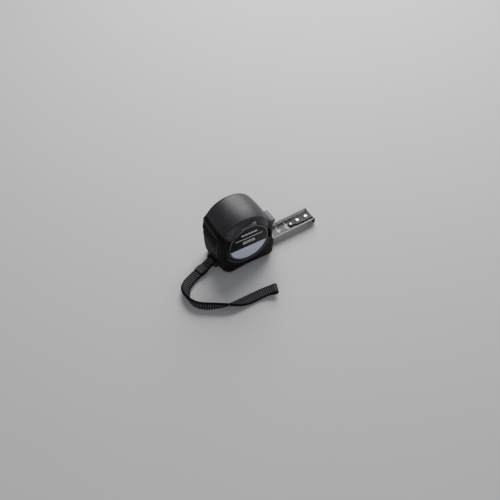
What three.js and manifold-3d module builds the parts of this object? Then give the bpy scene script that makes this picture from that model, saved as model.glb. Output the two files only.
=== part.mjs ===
// A pocket tape measure: a round-topped case on a flat base, with the blade drawn out of its
// front, a sliding thumb lock, a belt clip on the far side and a wrist strap at the back.
// Millimetres, +Z up. +X is the way the blade comes out, -Y is the side with the label, and the
// origin is in the middle of the base, under the reel's axle.

import * as THREE from 'three';
import { mergeVertices } from 'three/addons/utils/BufferGeometryUtils.js';
import Module from 'manifold-3d';

const wasm = await Module();
wasm.setup();

// ---------------------------------------------------------------- driving dimensions

const gap = 0.3;                 // clearance between pieces that touch

// Case
const axisZ = 37.2;              // height of the reel's axle above the base
const topRadius = 31.05;         // round top, seen from the side
const frontReach = 34.5;         // upright front, ahead of the axle
const slopeAngle = 26;           // where the round top starts to run out to the front, in degrees
const backReach = 31;
const backLean = 0.14;           // how much the back draws in at the base
const backFlatness = 0.6;        // how much of the crown is missing across the back
const backSlant = 0.1;           // how much the back draws in from the label side to the clip side
const baseSink = 2.2;            // how far the rounded form goes below the flat base before it is cut
const labelFaceY = -20.4;        // flat face round the label
const labelFaceInset = 7.4;      // how far that face is drawn in from the outline
const labelRimY = -15;           // rim where the label side's shoulder starts
const crownY = 5;                // widest place across the case
const clipFaceY = 20;            // flat face under the belt clip
const partY = 2;                 // where the two halves meet
const gripThickness = 1.3;       // rubber
const wallThickness = 1.6;       // hard shell
const labelWallY = -16.2;        // inside of the wall behind the label
const clipWallY = 16.8;          // inside of the wall behind the belt clip
const windowFrom = 20;           // the top where the hard shell shows, in degrees from the front
const windowTo = 145;

// Label
const pocketFloorY = -17.8;
const pocketRadius = 23.2;
const groovedPocketRadius = 24.7;
const ringOuter = 21.8;
const ringInner = 20.1;
const ringTopY = -20.2;
const keyHalfWidth = 8.6;
const keyReach = 24.9;

// Blade
const bladeHalfChord = 8.8;
const bladeCurve = 16.8;         // radius of the blade's cupped section
const bladeThickness = 0.3;
const bladeLowZ = 5.6;           // height of the middle of the cup
const bladeTailX = 28.8;
const bladeEndX = 88.6;

// End hook
const hookEndX = 90;
const hookLipThickness = 1.0;
const hookLipLowZ = 0.6;
const tongueHalfWidth = 4.8;
const tongueThickness = 0.8;
const tongueEndRadius = 2.7;
const hookPlay = 1.0;
const rivets = [
  { name: 'hook_rivet_front', x: 83.8, y: 0, head: 2.1, shank: 1.1 },
  { name: 'hook_rivet_middle', x: 73.2, y: 0, head: 2.1, shank: 1.1 },
  { name: 'hook_rivet_back', x: 64.3, y: -0.9, head: 1.5, shank: 0.8 },
];

// Reel
const coilHalfWidth = 9.3;
const coilInner = 16.8;
const coilOuter = 24.8;
const drumInner = 14.7;
const drumOuter = 16.4;
const flangeRadius = 25.6;
const flangeThickness = 1.0;
const flangeWindowRadius = 3;
const flangeWindowRing = 20.5;
const arborRadius = 3.4;
const springInner = 4.4;
const springOuter = 14.2;

// Mouth
const mouthHalfWidth = 10.2;
const mouthLowZ = 3.1;
const mouthHighZ = 10.6;
const guideBackX = 24.5;
const guideFrontX = 35.6;
const channelHalfWidth = 9.45;
const bumperFrontX = 36;
const bumperHalfWidth = 11.4;
const bumperLowZ = 1.3;
const bumperHighZ = 12.4;

// Lock
const lockHalfWidth = 7.5;
const lockLowZ = 26;
const lockHighZ = 35.8;
const lockFrontX = 40.2;
const lockTravel = 5;
const slotHalfWidth = 3.9;
const neckHeight = 5.4;
const stemX = 27.2;
const stemThickness = 1.7;
const stemHighZ = 33.5;
const footBackX = 25.2;
const footLowZ = 11;
const footThickness = 1.4;
const padLowZ = 8.7;
const padHighZ = 10.7;

// Belt clip
const clipHalfWidth = 9;
const clipThickness = 1.1;
const clipScrewZ = 49;

// Screws
const screwSeatY = 18.2;
const arborScrewSeatY = 18.5;
const caseScrews = [
  { name: 'case_screw_front', x: 19.5, z: 11.9 },
  { name: 'case_screw_back', x: -19.5, z: 11.9 },
];

// Strap
const strapRadius = 1.7;
const strapPinX = -29.4;
const strapPinZ = 7.2;
const earRadius = 2.5;
const strapPinRadius = 1.3;
const earInnerY = 5.8;
const earOuterY = 7.6;
const earRootX = -24;

// ---------------------------------------------------------------- materials

function finish(color, roughness, metalness = 0) {
  return new THREE.MeshStandardMaterial({ color, roughness, metalness });
}

const materials = {
  shell: finish(0x2b2a2f, 0.55),
  rubber: finish(0x151517, 0.85),
  ring: finish(0x9a9da3, 0.35, 0.9),
  label: finish(0x1c1a20, 0.3),
  blade: finish(0x17171a, 0.4, 0.3),
  hook: finish(0x1b1b1d, 0.4, 0.7),
  rivet: finish(0xd9dadd, 0.25, 1),
  steel: finish(0x8c8f94, 0.35, 1),
  springSteel: finish(0x6d7076, 0.35, 1),
  reel: finish(0x3b3b40, 0.6),
  lock: finish(0x2a2a2d, 0.6),
  guide: finish(0x1d1d20, 0.45),
  webbing: finish(0x121214, 0.9),
};

// ---------------------------------------------------------------- solids from three.js geometry

function toSolid(geometry) {
  const bare = geometry.clone();
  for (const name of Object.keys(bare.attributes)) {
    if (name !== 'position') bare.deleteAttribute(name);
  }
  const merged = mergeVertices(bare, 1e-4);
  return new wasm.Manifold(new wasm.Mesh({
    numProp: 3,
    vertProperties: new Float32Array(merged.attributes.position.array),
    triVerts: new Uint32Array(merged.index.array),
  }));
}

function toGeometry(solid) {
  const mesh = solid.getMesh();
  const geometry = new THREE.BufferGeometry();
  geometry.setAttribute('position', new THREE.BufferAttribute(mesh.vertProperties, mesh.numProp));
  geometry.setIndex(new THREE.BufferAttribute(mesh.triVerts, 1));
  geometry.computeVertexNormals();
  return geometry;
}

// A block between two corners.
function block(low, high) {
  const size = high.map((value, k) => value - low[k]);
  const geometry = new THREE.BoxGeometry(...size);
  geometry.translate(...low.map((value, k) => value + size[k] / 2));
  return toSolid(geometry);
}

// A block centred on the plane y = 0.
function middleBlock(x0, x1, halfWidth, z0, z1) {
  return block([x0, -halfWidth, z0], [x1, halfWidth, z1]);
}

// A shape drawn in (x, z), from y0 to y1.
function extrudeY(shape, y0, y1, curveSegments = 24) {
  const options = { depth: y1 - y0, bevelEnabled: false, curveSegments };
  const geometry = new THREE.ExtrudeGeometry(shape, options);
  geometry.rotateX(Math.PI / 2);
  geometry.translate(0, y1, 0);
  return toSolid(geometry);
}

// A shape drawn in (y, z), from x0 to x1.
function extrudeX(shape, x0, x1, curveSegments = 16) {
  const options = { depth: x1 - x0, bevelEnabled: false, curveSegments };
  const geometry = new THREE.ExtrudeGeometry(shape, options);
  geometry.rotateX(Math.PI / 2);
  geometry.rotateZ(Math.PI / 2);
  geometry.translate(x0, 0, 0);
  return toSolid(geometry);
}

// A shape drawn in (x, y), from z0 to z1.
function extrudeZ(shape, z0, z1, curveSegments = 12) {
  const options = { depth: z1 - z0, bevelEnabled: false, curveSegments };
  const geometry = new THREE.ExtrudeGeometry(shape, options);
  geometry.translate(0, 0, z0);
  return toSolid(geometry);
}

// A round bar along Y about the point (x, z).
function barY(radius, y0, y1, x = 0, z = axisZ, segments = 32) {
  const geometry = new THREE.CylinderGeometry(radius, radius, y1 - y0, segments);
  geometry.translate(x, (y0 + y1) / 2, z);
  return toSolid(geometry);
}

// A turned piece about the Y line through (x, z). The profile's points are (radius, y).
function turnedY(profile, x = 0, z = axisZ, segments = 48) {
  const points = profile.map(([radius, y]) => new THREE.Vector2(radius, y));
  const geometry = new THREE.LatheGeometry(points, segments);
  geometry.translate(x, 0, z);
  return toSolid(geometry);
}

// ---------------------------------------------------------------- the case's form

// The side outline: a round top, a front that runs out of it and stands upright, a leaning back.
function outlinePoint(angle) {
  const c = Math.cos(angle);
  const s = Math.sin(angle);
  const slopeLeft = Math.max(0, 1 - angle * 180 / Math.PI / slopeAngle);
  if (s >= 0) {
    const reach = topRadius + (frontReach - topRadius) * slopeLeft ** 1.5;
    return [reach * c, axisZ + reach * s];
  }
  const squareness = 12;
  const halfWidth = c > 0 ? frontReach : backReach;
  const across = Math.abs(c / halfWidth) ** squareness;
  const down = Math.abs(s / (axisZ + baseSink)) ** squareness;
  const reach = (across + down) ** (-1 / squareness);
  const lean = c < 0 ? 1 - backLean * (-reach * s / axisZ) ** 1.5 : 1;
  return [reach * c * lean, axisZ + reach * s];
}

// How far the outline is drawn in at a distance from the middle.
function crownInset(y) {
  if (y < crownY) return 2.6 * ((crownY - y) / (crownY - labelRimY)) ** 2.2;
  return 0.7 * ((y - crownY) / 13.5) ** 3;
}

// A flat label face, a sloping shoulder up to the rim, a crowned top and a rounded far edge.
const crownSteps = [labelRimY, -11, -7, -3, 1.5, 8, 14, 18.5];
const caseSections = [
  [labelFaceY, labelFaceInset],
  ...crownSteps.map((y) => [y, crownInset(y)]),
  [19.5, 1.4],
  [clipFaceY, 2.6],
];

// The same inset at one place round the case: the back is flatter and slants a little.
function insetAt(angle, y, inset) {
  if (y <= labelFaceY) return inset;
  const back = Math.max(0, -Math.cos(angle)) ** 3;
  return inset * (1 - backFlatness * back) + backSlant * y * back;
}

// The case's outer form, drawn in by a depth towards the axle and kept between two planes.
function caseForm(depth, fromY = labelFaceY + depth, toY = clipFaceY - depth) {
  const count = 52;
  const positions = [];
  const triangles = [];
  for (const [y, inset] of caseSections) {
    for (let i = 0; i < count; i++) {
      const angle = 2 * Math.PI * i / count;
      const [x, z] = outlinePoint(angle);
      const reach = Math.hypot(x, z - axisZ);
      const keep = (reach - insetAt(angle, y, inset) - depth) / reach;
      positions.push(x * keep, y, axisZ + (z - axisZ) * keep);
    }
  }
  const last = caseSections.length - 1;
  for (let k = 0; k < last; k++) {
    for (let i = 0; i < count; i++) {
      const a = k * count + i;
      const b = k * count + (i + 1) % count;
      triangles.push(a, a + count, b, b, a + count, b + count);
    }
  }
  const firstCentre = positions.length / 3;
  positions.push(0, labelFaceY, axisZ, 0, clipFaceY, axisZ);
  for (let i = 0; i < count; i++) {
    const j = (i + 1) % count;
    triangles.push(firstCentre, i, j);
    triangles.push(firstCentre + 1, last * count + j, last * count + i);
  }
  const geometry = new THREE.BufferGeometry();
  geometry.setAttribute('position', new THREE.Float32BufferAttribute(positions, 3));
  geometry.setIndex(triangles);
  return toSolid(geometry).intersect(block([-80, fromY, depth], [80, toY, 100]));
}

// A ring sector about the axle, between two angles in degrees.
function sector(innerRadius, from, to, y0, y1) {
  const a = from * Math.PI / 180;
  const b = to * Math.PI / 180;
  const outerRadius = 60;
  const shape = new THREE.Shape();
  shape.absarc(0, 0, outerRadius, a, b, false);
  shape.absarc(0, 0, innerRadius, b, a, true);
  return extrudeY(shape, y0, y1).translate([0, 0, axisZ]);
}

// The top window, where the hard shell stands up to the case's surface between the rubber.
function topWindow(widen) {
  const labelSide = sector(22.5, windowFrom - widen, windowTo + widen, -40, 0.01);
  const clipSide = sector(25.4 - widen, windowFrom - widen, windowTo + widen, 0, 40);
  return labelSide.add(clipSide);
}

// Everything cut through the case's walls.
function mouthCut() {
  return middleBlock(guideBackX, 45, mouthHalfWidth, mouthLowZ, mouthHighZ);
}

function lockSlot() {
  return middleBlock(24, 45, slotHalfWidth, lockLowZ + 0.2, lockLowZ + neckHeight + lockTravel + 0.4);
}

function labelPocket() {
  const round = barY(pocketRadius, -30, pocketFloorY, 0, axisZ, 48);
  const wide = barY(groovedPocketRadius, -30, pocketFloorY, 0, axisZ, 48).subtract(topWindow(0));
  const key = block(
    [-keyHalfWidth - gap, -30, axisZ],
    [keyHalfWidth + gap, pocketFloorY, axisZ + keyReach + gap],
  );
  return round.add(wide).add(key);
}

// Holes and counterbores for the screws, which all go in from the clip side.
function screwCuts() {
  let cuts = barY(1.7, 8, 30, 0, axisZ, 16).add(barY(3.4, arborScrewSeatY - gap, 30, 0, axisZ, 20));
  cuts = cuts.add(barY(1.7, 15, 30, 0, clipScrewZ, 16));
  for (const { x, z } of caseScrews) {
    cuts = cuts.add(barY(1.5, -14, 30, x, z, 16)).add(barY(3.2, screwSeatY - gap, 30, x, z, 20));
  }
  return cuts;
}

// Posts inside the case for the screws, split between the two halves.
function screwPosts() {
  let posts = barY(3, 13.4, clipWallY + 1, 0, clipScrewZ, 20);
  for (const { x, z } of caseScrews) {
    posts = posts.add(barY(2.6, labelWallY - 1, clipWallY + 1, x, z, 20));
  }
  return posts;
}

// Two ears at the back that hold the strap's pin.
function strapEars() {
  const shape = new THREE.Shape();
  shape.moveTo(earRootX, strapPinZ - earRadius);
  shape.lineTo(earRootX, strapPinZ + earRadius + 2);
  shape.lineTo(strapPinX, strapPinZ + earRadius);
  shape.absarc(strapPinX, strapPinZ, earRadius, Math.PI / 2, 1.5 * Math.PI, false);
  const bore = barY(strapPinRadius + gap, -20, 20, strapPinX, strapPinZ, 16);
  const ears = extrudeY(shape, -earOuterY, -earInnerY, 8).add(extrudeY(shape, earInnerY, earOuterY, 8));
  return ears.subtract(bore);
}

// ---------------------------------------------------------------- the case's pieces

function hardShell() {
  const underRubber = gripThickness + gap;
  const inner = caseForm(underRubber + wallThickness, labelWallY, clipWallY);
  const raised = caseForm(0).intersect(topWindow(-0.35));
  const walls = caseForm(underRubber).add(raised).add(strapEars()).subtract(inner);
  const insideEars = caseForm(underRubber + 0.1);
  const posts = screwPosts().intersect(insideEars);
  return walls.add(posts).subtract(labelPocket()).subtract(mouthCut()).subtract(lockSlot())
    .subtract(screwCuts());
}

function rubberGrip() {
  const skin = caseForm(0).subtract(caseForm(gripThickness));
  const earLowZ = strapPinZ - earRadius - gap;
  const ears = middleBlock(-45, earRootX, earOuterY + gap, earLowZ, earLowZ + 2 * earRadius + 2.6);
  return skin.subtract(topWindow(0.35)).subtract(labelPocket()).subtract(mouthCut())
    .subtract(lockSlot()).subtract(screwCuts()).subtract(ears);
}

function halves(solid) {
  const labelHalf = block([-80, -60, -10], [80, partY - gap / 2, 110]);
  const clipHalf = block([-80, partY + gap / 2, -10], [80, 60, 110]);
  return [solid.intersect(labelHalf), solid.intersect(clipHalf)];
}

function labelRing() {
  const ring = turnedY([
    [ringInner, pocketFloorY - gap],
    [ringInner, ringTopY],
    [ringOuter - 0.4, ringTopY],
    [ringOuter, ringTopY + 0.4],
    [ringOuter, pocketFloorY - gap],
    [ringInner, pocketFloorY - gap],
  ], 0, axisZ, 48);
  const key = block(
    [-keyHalfWidth, ringTopY + 0.5, axisZ + 20],
    [keyHalfWidth, pocketFloorY - gap, axisZ + keyReach],
  ).subtract(barY(ringInner + 0.5, -30, 0, 0, axisZ, 48));
  return ring.add(key);
}

function labelDisc() {
  return barY(ringInner - gap, ringTopY + 0.6, pocketFloorY - gap, 0, axisZ, 48);
}

// ---------------------------------------------------------------- reel and spring

// A flat strip wound round the axle, from one radius to another.
function spiralStrip(inner, outer, turns, thickness, halfWidth) {
  const steps = turns * 20;
  const side = (offset) => (k) => {
    const angle = 2 * Math.PI * turns * k / steps;
    const radius = inner + (outer - thickness - inner) * k / steps + offset;
    return new THREE.Vector2(radius * Math.cos(angle), radius * Math.sin(angle));
  };
  const index = Array.from({ length: steps + 1 }, (_, k) => k);
  const points = [...index.map(side(thickness)), ...index.map(side(0)).reverse()];
  return extrudeY(new THREE.Shape(points), -halfWidth, halfWidth).translate([0, 0, axisZ]);
}

function reelDrum() {
  const y = coilHalfWidth;
  return turnedY([
    [drumInner, -y],
    [drumOuter, -y],
    [drumOuter, y],
    [drumInner, y],
    [drumInner, -y],
  ]);
}

// A reel side disc with spokes' windows, on the side that the sign gives.
function reelFlange(sign) {
  const near = coilHalfWidth + gap;
  const far = near + flangeThickness;
  const [y0, y1] = sign < 0 ? [-far, -near] : [near, far];
  let disc = barY(flangeRadius, y0, y1, 0, axisZ, 40);
  disc = disc.subtract(barY(arborRadius + gap, -20, 20, 0, axisZ, 24));
  const windows = 5;
  for (let k = 0; k < windows; k++) {
    const angle = 2 * Math.PI * k / windows;
    const x = flangeWindowRing * Math.cos(angle);
    const z = axisZ + flangeWindowRing * Math.sin(angle);
    disc = disc.subtract(barY(flangeWindowRadius, -20, 20, x, z, 14));
  }
  return disc;
}

// The fixed axle, slotted for the spring's inner end.
function arbor() {
  const bar = barY(arborRadius, labelWallY + gap, clipWallY - gap, 0, axisZ, 24);
  const slot = block([-0.4, -coilHalfWidth, axisZ - 5], [0.4, coilHalfWidth, axisZ]);
  const screwHole = barY(1.5, 8, 30, 0, axisZ, 16);
  return bar.subtract(slot).subtract(screwHole);
}

// ---------------------------------------------------------------- blade and hook

const cupCentreZ = bladeLowZ + bladeCurve;

// A band of the blade's cupped section between two radii, out to a half width.
function cupBand(innerRadius, outerRadius, halfWidth, segments) {
  const down = -Math.PI / 2;
  const innerHalf = Math.asin(halfWidth / innerRadius);
  const outerHalf = Math.asin(halfWidth / outerRadius);
  const shape = new THREE.Shape();
  const points = [];
  for (let k = 0; k <= segments; k++) {
    const angle = down - outerHalf + 2 * outerHalf * k / segments;
    points.push(new THREE.Vector2(outerRadius * Math.cos(angle), outerRadius * Math.sin(angle)));
  }
  for (let k = segments; k >= 0; k--) {
    const angle = down - innerHalf + 2 * innerHalf * k / segments;
    points.push(new THREE.Vector2(innerRadius * Math.cos(angle), innerRadius * Math.sin(angle)));
  }
  shape.setFromPoints(points.map((p) => p.add(new THREE.Vector2(0, cupCentreZ))));
  return shape;
}

// A round bar along X about the centre of the blade's cup.
function barX(radius, x0, x1) {
  const geometry = new THREE.CylinderGeometry(radius, radius, x1 - x0, 64);
  geometry.rotateZ(Math.PI / 2);
  geometry.translate((x0 + x1) / 2, 0, cupCentreZ);
  return toSolid(geometry);
}

function roundHole(radius, x, y) {
  const geometry = new THREE.CylinderGeometry(radius, radius, 20, 12);
  geometry.rotateX(Math.PI / 2);
  geometry.translate(x, y, 6);
  return toSolid(geometry);
}

function blade() {
  const half = bladeThickness / 2;
  const section = cupBand(bladeCurve - half, bladeCurve + half, bladeHalfChord, 14);
  let strip = extrudeX(section, bladeTailX, bladeEndX);
  for (const { x, y, shank } of rivets) {
    strip = strip.subtract(roundHole(shank + gap, x, y));
  }
  return strip;
}

// The tongue's outline from above: a wide plate that narrows to a round end.
function tongueOutline() {
  const last = rivets[2];
  const shape = new THREE.Shape();
  shape.moveTo(hookEndX, -tongueHalfWidth);
  shape.lineTo(hookEndX, tongueHalfWidth);
  shape.lineTo(71.5, tongueHalfWidth);
  shape.quadraticCurveTo(69.6, tongueHalfWidth, 68.6, 2.6);
  shape.lineTo(last.x, last.y + tongueEndRadius);
  shape.absarc(last.x, last.y, tongueEndRadius, Math.PI / 2, 1.5 * Math.PI, false);
  shape.lineTo(68.6, last.y - tongueEndRadius);
  shape.quadraticCurveTo(69.6, -tongueHalfWidth, 71.5, -tongueHalfWidth);
  shape.lineTo(hookEndX, -tongueHalfWidth);
  return shape;
}

// A slot that lets the hook slide out by its own thickness.
function playSlot({ x, y, shank }) {
  const radius = shank + gap;
  const shape = new THREE.Shape();
  shape.absarc(x, y, radius, -Math.PI / 2, Math.PI / 2, false);
  shape.absarc(x - hookPlay, y, radius, Math.PI / 2, 1.5 * Math.PI, false);
  return extrudeZ(shape, 0, 20, 8);
}

function endHook() {
  const underside = bladeCurve - bladeThickness / 2 - gap;
  const top = underside - tongueThickness;
  const band = extrudeX(cupBand(top, underside, tongueHalfWidth + 0.5, 10), 55, hookEndX);
  let tongue = band.intersect(extrudeZ(tongueOutline(), 0, 20));
  for (const rivet of rivets) tongue = tongue.subtract(playSlot(rivet));
  const lipBack = hookEndX - hookLipThickness;
  const corner = 1.6;
  const half = bladeHalfChord + 0.1;
  const outline = new THREE.Shape();
  outline.moveTo(-half, 9);
  outline.lineTo(-half, hookLipLowZ + corner);
  outline.quadraticCurveTo(-half, hookLipLowZ, -half + corner, hookLipLowZ);
  outline.lineTo(half - corner, hookLipLowZ);
  outline.quadraticCurveTo(half, hookLipLowZ, half, hookLipLowZ + corner);
  outline.lineTo(half, 9);
  const plate = extrudeX(outline, lipBack, hookEndX, 6);
  const lip = plate.subtract(barX(underside + gap, 80, 95));
  const bend = plate.intersect(middleBlock(80, 95, tongueHalfWidth, 0, 20)).subtract(barX(top, 80, 95));
  return tongue.add(lip).add(bend);
}

// A rivet: a domed head over the tongue and a shank that ends flush under the blade.
function hookRivet({ x, y, head, shank }) {
  const headLow = cupCentreZ - bladeCurve + bladeThickness / 2 + gap + tongueThickness + 0.35;
  const profile = [
    [0, bladeLowZ - 0.1],
    [shank, bladeLowZ - 0.1],
    [shank, headLow],
    [head, headLow],
    [head, headLow + 0.25],
    [head * 0.75, headLow + 0.6],
    [0, headLow + 0.75],
  ];
  const points = profile.map(([radius, z]) => new THREE.Vector2(radius, z));
  const geometry = new THREE.LatheGeometry(points, 16);
  geometry.rotateX(Math.PI / 2);
  geometry.translate(x, y, 0);
  return toSolid(geometry);
}

// ---------------------------------------------------------------- mouth

function mouthGuide() {
  const halfWidth = mouthHalfWidth - gap;
  const body = middleBlock(guideBackX + gap, guideFrontX, halfWidth, mouthLowZ + 0.4, mouthHighZ - 0.6);
  const channelRadius = bladeCurve + bladeThickness / 2 + 0.35;
  const round = barX(channelRadius, 15, 45);
  const channel = round.intersect(middleBlock(0, 60, channelHalfWidth, 0, 40));
  return body.subtract(channel);
}

function hookBumper() {
  const shape = new THREE.Shape();
  const half = bumperHalfWidth;
  const [low, high, corner] = [bumperLowZ, bumperHighZ, 2];
  shape.moveTo(-half + corner, low);
  shape.lineTo(half - corner, low);
  shape.quadraticCurveTo(half, low, half, low + corner);
  shape.lineTo(half, high - corner);
  shape.quadraticCurveTo(half, high, half - corner, high);
  shape.lineTo(-half + corner, high);
  shape.quadraticCurveTo(-half, high, -half, high - corner);
  shape.lineTo(-half, low + corner);
  shape.quadraticCurveTo(-half, low, -half + corner, low);
  const frame = extrudeX(shape, 28, bumperFrontX, 4);
  return frame.subtract(caseForm(-gap)).subtract(mouthCut());
}

// ---------------------------------------------------------------- lock

// The thumb button: a ledge to push, over a face that slopes back to the case.
function lockButton() {
  const back = frontReach + gap;
  const shape = new THREE.Shape();
  shape.moveTo(back, lockLowZ);
  shape.lineTo(back + 1.6, lockLowZ);
  shape.quadraticCurveTo(back + 2.8, lockLowZ + 5.5, lockFrontX, lockHighZ - 2.4);
  shape.quadraticCurveTo(lockFrontX + 0.3, lockHighZ, lockFrontX - 1.4, lockHighZ);
  shape.lineTo(back, lockHighZ);
  let button = extrudeY(shape, -lockHalfWidth, lockHalfWidth, 6);
  const grooves = 3;
  for (let k = 0; k < grooves; k++) {
    const z = lockLowZ + 3 + 2.2 * k;
    const front = back + 1.9 + 0.9 * k;
    button = button.subtract(middleBlock(front, front + 6, lockHalfWidth - 1.5, z, z + 0.8));
  }
  return button;
}

// The slider behind the case wall, with the neck that carries the button and a foot for the pad.
function lockSlider() {
  const stemFrontX = stemX + stemThickness;
  const stem = middleBlock(stemX, stemFrontX, 5, footLowZ, stemHighZ);
  const neck = middleBlock(stemX, frontReach, slotHalfWidth - 0.5, lockLowZ + 0.6, lockLowZ + neckHeight);
  const foot = middleBlock(footBackX, stemFrontX, 8, footLowZ, footLowZ + footThickness);
  return stem.add(neck).add(foot);
}

function brakePad() {
  return middleBlock(footBackX, stemX + stemThickness, 8.4, padLowZ, padHighZ);
}

// ---------------------------------------------------------------- clip side

// The belt clip: a steel strip that is screwed on at the top and springs against the case below.
function beltClip() {
  const near = clipFaceY + gap;
  const centre = [
    [near, 56], [near, 44], [near + 0.9, 41], [near + 4.6, 37.5], [near + 5.6, 34],
    [near + 5.6, 16], [near + 4.9, 13], [near + 3.6, 11], [near + 3.6, 9.6], [near + 4.8, 7.6],
  ];
  const outward = centre.map(([y, z], k) => {
    const [y0, z0] = centre[Math.max(k - 1, 0)];
    const [y1, z1] = centre[Math.min(k + 1, centre.length - 1)];
    const long = Math.hypot(y1 - y0, z1 - z0);
    return [y - clipThickness * (z1 - z0) / long, z + clipThickness * (y1 - y0) / long];
  });
  const points = [...centre, ...outward.reverse()].map(([y, z]) => new THREE.Vector2(y, z));
  const strip = extrudeX(new THREE.Shape(points), -clipHalfWidth, clipHalfWidth);
  return strip.subtract(barY(1.9, 15, 30, 0, clipScrewZ, 20));
}

// A pan-head screw along Y, with its head towards +Y and its shank below.
function panScrew({ x, z, seatY, length, head = 2.9, shank = 1.2, headHeight = 1.5 }) {
  const screw = turnedY([
    [0, seatY - length],
    [shank, seatY - length + 0.6],
    [shank, seatY],
    [head, seatY],
    [head, seatY + headHeight * 0.5],
    [head * 0.6, seatY + headHeight],
    [0, seatY + headHeight],
  ], x, z, 20);
  const slotLow = seatY + headHeight * 0.5;
  const half = 0.35;
  const arm = head * 0.62;
  const across = block([x - arm, slotLow, z - half], [x + arm, slotLow + 2, z + half]);
  const upright = block([x - half, slotLow, z - arm], [x + half, slotLow + 2, z + arm]);
  return screw.subtract(across).subtract(upright);
}

// ---------------------------------------------------------------- wrist strap

// The strap's middle line on the surface: out of the back, round to the left and forward again.
const strapRoute = [
  [-32.9, 0.3, 6.1], [-35.4, 0.2, 4.9], [-38.2, -0.3, 3.7], [-42.0, -1.2, 3.0], [-49.0, -3.3, 2.7],
  [-57.4, -6.2, 2.1], [-64.5, -9.9, 2.8], [-69.6, -15.4, 4.0], [-72.4, -22.4, 5.0],
  [-72.5, -30.0, 5.2], [-69.6, -37.1, 5.2], [-64.3, -42.7, 5.2], [-56.6, -47.5, 5.2],
  [-48.6, -52.0, 5.1], [-40.2, -55.3, 4.4], [-32.0, -57.0, 3.3], [-23.8, -57.6, 2.4],
  [-15.6, -57.8, 2.3], [-7.6, -58.5, 3.0], [-0.4, -60.2, 4.3], [5.2, -62.4, 5.8],
];

function wristStrap() {
  const line = new THREE.CatmullRomCurve3(strapRoute.map((p) => new THREE.Vector3(...p)));
  const section = new THREE.Shape();
  const sides = 8;
  for (let k = 0; k < sides; k++) {
    const angle = 2 * Math.PI * (k + 0.5) / sides;
    const corner = [strapRadius * Math.cos(angle), strapRadius * Math.sin(angle)];
    if (k === 0) section.moveTo(...corner);
    else section.lineTo(...corner);
  }
  const geometry = new THREE.ExtrudeGeometry(section, { steps: 36, extrudePath: line });
  return toSolid(geometry);
}

// The stitched keeper that gathers the strap's two layers just behind the case.
function strapCollar() {
  const shape = new THREE.Shape();
  const [halfWidth, halfHeight, corner] = [5.6, 2.8, 1.6];
  shape.moveTo(-halfWidth + corner, -halfHeight);
  shape.lineTo(halfWidth - corner, -halfHeight);
  shape.quadraticCurveTo(halfWidth, -halfHeight, halfWidth, -halfHeight + corner);
  shape.lineTo(halfWidth, halfHeight - corner);
  shape.quadraticCurveTo(halfWidth, halfHeight, halfWidth - corner, halfHeight);
  shape.lineTo(-halfWidth + corner, halfHeight);
  shape.quadraticCurveTo(-halfWidth, halfHeight, -halfWidth, halfHeight - corner);
  shape.lineTo(-halfWidth, -halfHeight + corner);
  shape.quadraticCurveTo(-halfWidth, -halfHeight, -halfWidth + corner, -halfHeight);
  const hole = new THREE.Path();
  const holeRadius = strapRadius + 0.6;
  hole.absarc(0, 0, holeRadius, 0, 2 * Math.PI, true);
  shape.holes.push(hole);
  return extrudeX(shape, -4.3, 4.3, 4);
}

function strapPin() {
  return barY(strapPinRadius, -earOuterY + 0.2, earOuterY - 0.2, strapPinX, strapPinZ, 16);
}

// ---------------------------------------------------------------- the assembly

const tape = new THREE.Group();

function addPiece(name, solid, material, parent = tape) {
  const mesh = new THREE.Mesh(toGeometry(solid), material);
  mesh.name = name;
  parent.add(mesh);
  return mesh;
}

const [shellLabelSide, shellClipSide] = halves(hardShell());
addPiece('shell_label_side', shellLabelSide, materials.shell);
addPiece('shell_clip_side', shellClipSide, materials.shell);
const [gripLabelSide, gripClipSide] = halves(rubberGrip());
addPiece('grip_label_side', gripLabelSide, materials.rubber);
addPiece('grip_clip_side', gripClipSide, materials.rubber);
addPiece('label_ring', labelRing(), materials.ring);
addPiece('label_disc', labelDisc(), materials.label);

addPiece('arbor', arbor(), materials.steel);
addPiece('power_spring', spiralStrip(springInner, springOuter, 6, 0.7, 8.6), materials.springSteel);
addPiece('reel_drum', reelDrum(), materials.reel);
addPiece('reel_flange_label_side', reelFlange(-1), materials.reel);
addPiece('reel_flange_clip_side', reelFlange(1), materials.reel);
addPiece('blade_coil', spiralStrip(coilInner, coilOuter, 5, 0.9, coilHalfWidth), materials.blade);

addPiece('blade', blade(), materials.blade);
addPiece('end_hook', endHook(), materials.hook);
for (const rivet of rivets) addPiece(rivet.name, hookRivet(rivet), materials.rivet);
addPiece('mouth_guide', mouthGuide(), materials.guide);
addPiece('hook_bumper', hookBumper(), materials.rubber);

addPiece('lock_button', lockButton(), materials.lock);
addPiece('lock_slider', lockSlider(), materials.lock);
addPiece('brake_pad', brakePad(), materials.rubber);

addPiece('belt_clip', beltClip(), materials.steel);
const clipScrew = { x: 0, z: clipScrewZ, seatY: clipFaceY + gap + clipThickness + gap, length: 6 };
addPiece('belt_clip_screw', panScrew(clipScrew), materials.steel);
const arborScrew = { x: 0, z: axisZ, seatY: arborScrewSeatY, length: 9, headHeight: 1.2 };
addPiece('arbor_screw', panScrew(arborScrew), materials.steel);
for (const { name, x, z } of caseScrews) {
  addPiece(name, panScrew({ x, z, seatY: screwSeatY, length: 26, headHeight: 1.3 }), materials.steel);
}

addPiece('strap_pin', strapPin(), materials.steel);
const collarFrame = new THREE.Group();
collarFrame.position.set(-44.2, -1.85, 2.9);
collarFrame.rotation.z = Math.atan2(-3.4, -12);
tape.add(collarFrame);
addPiece('strap_collar', strapCollar(), materials.webbing, collarFrame);
addPiece('wrist_strap', wristStrap(), materials.webbing);

export default tape;
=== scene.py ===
"""Pocket tape measure: the fine visual model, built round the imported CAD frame."""
import math

import bpy
import numpy as np
from mathutils import Matrix, Vector


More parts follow.
